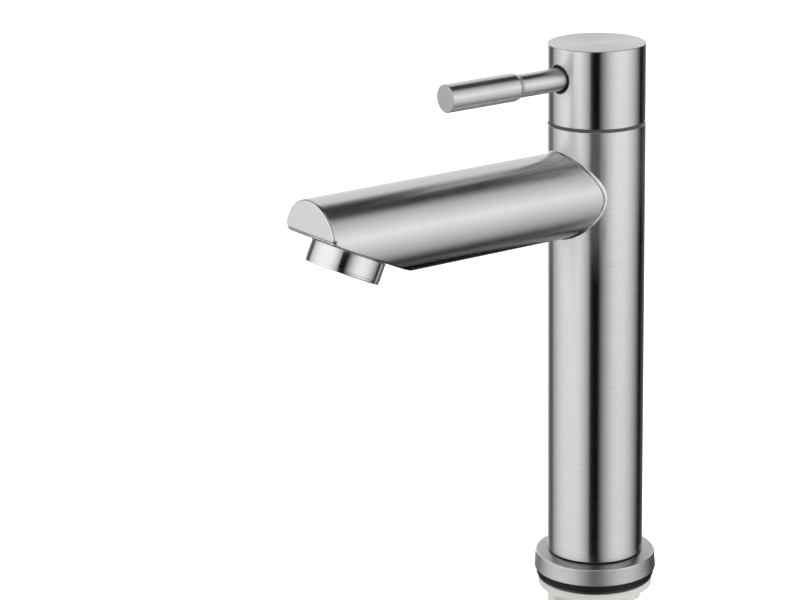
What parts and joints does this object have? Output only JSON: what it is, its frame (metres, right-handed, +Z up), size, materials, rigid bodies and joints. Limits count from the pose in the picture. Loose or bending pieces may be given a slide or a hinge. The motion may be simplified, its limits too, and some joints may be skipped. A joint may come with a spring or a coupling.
{
  "type": "basin tap",
  "caption": "Deck-mounted basin tap: plain cylindrical column, straight round spout cut away under its tip, slanted aerator, pin lever on a turning cap, threaded shank with winged backnut.",
  "frame": {"origin": "on the column axis, in the plane of the base flange's underside", "axes": "+Z up along the column, -Y towards the spout tip and the lever at rest, +X to the right seen from the front"},
  "size_m": [0.045, 0.1449, 0.2424],
  "materials": {
    "brushed_steel": "satin, brushed round the tube",
    "bright_steel": "bright turned",
    "brass": "turned",
    "black_rubber": "matt moulded",
    "grey_plastic": "satin moulded",
    "black_plastic": "satin moulded",
    "white_plastic": "translucent off-white, moulded",
    "white_ceramic": "lapped alumina"
  },
  "bodies": {
    "tap_body": {"base_flange": "brushed_steel", "base_seal_ring": "black_rubber", "base_bush": "brass", "threaded_shank": "bright_steel", "shank_washer": "black_rubber", "riser_pipe": "bright_steel", "body_column": "brushed_steel", "spout_tube": "brushed_steel", "spout_end_cap": "brushed_steel", "spout_sole_plate": "brushed_steel", "aerator_housing": "bright_steel", "aerator_insert": "grey_plastic", "aerator_screen": "bright_steel", "aerator_washer": "black_rubber", "valve_block": "brass", "seat_seal": "black_rubber", "fixed_ceramic_disc": "white_ceramic", "cartridge_body": "brass", "cartridge_o_ring": "black_rubber", "seam_ring": "grey_plastic", "deck_gasket": "black_rubber"},
    "handle": {"handle_cap": "brushed_steel", "handle_hub": "brass", "hub_screw": "bright_steel", "handle_lever": "brushed_steel", "lever_seal": "black_rubber", "cartridge_spindle": "brass", "spindle_o_rings": "black_rubber", "spindle_circlip": "bright_steel", "turning_ceramic_disc": "white_ceramic"},
    "nut_carrier": {"lower_washer": "black_plastic"},
    "nut": {"backnut": "white_plastic"}
  },
  "joints": [
    {"name": "handle_turn", "type": "hinge", "parent": "tap_body", "child": "handle", "pos_m": [0, 0, 0.17], "axis": [0, 0, 1], "range_deg": [0, 90]},
    {"name": "washer_travel", "type": "slide", "parent": "tap_body", "child": "nut_carrier", "axis": [0, 0, -1], "range_m": [0, 0.022]},
    {"name": "backnut_turn", "type": "hinge", "parent": "nut_carrier", "child": "nut", "pos_m": [0, 0, -0.0036], "axis": [0, 0, -1], "range_deg": [0, 4365]}
  ],
  "couplings": [
    {"joint": "washer_travel", "follows": "backnut_turn", "m_per_rad": 0.00028875}
  ]
}
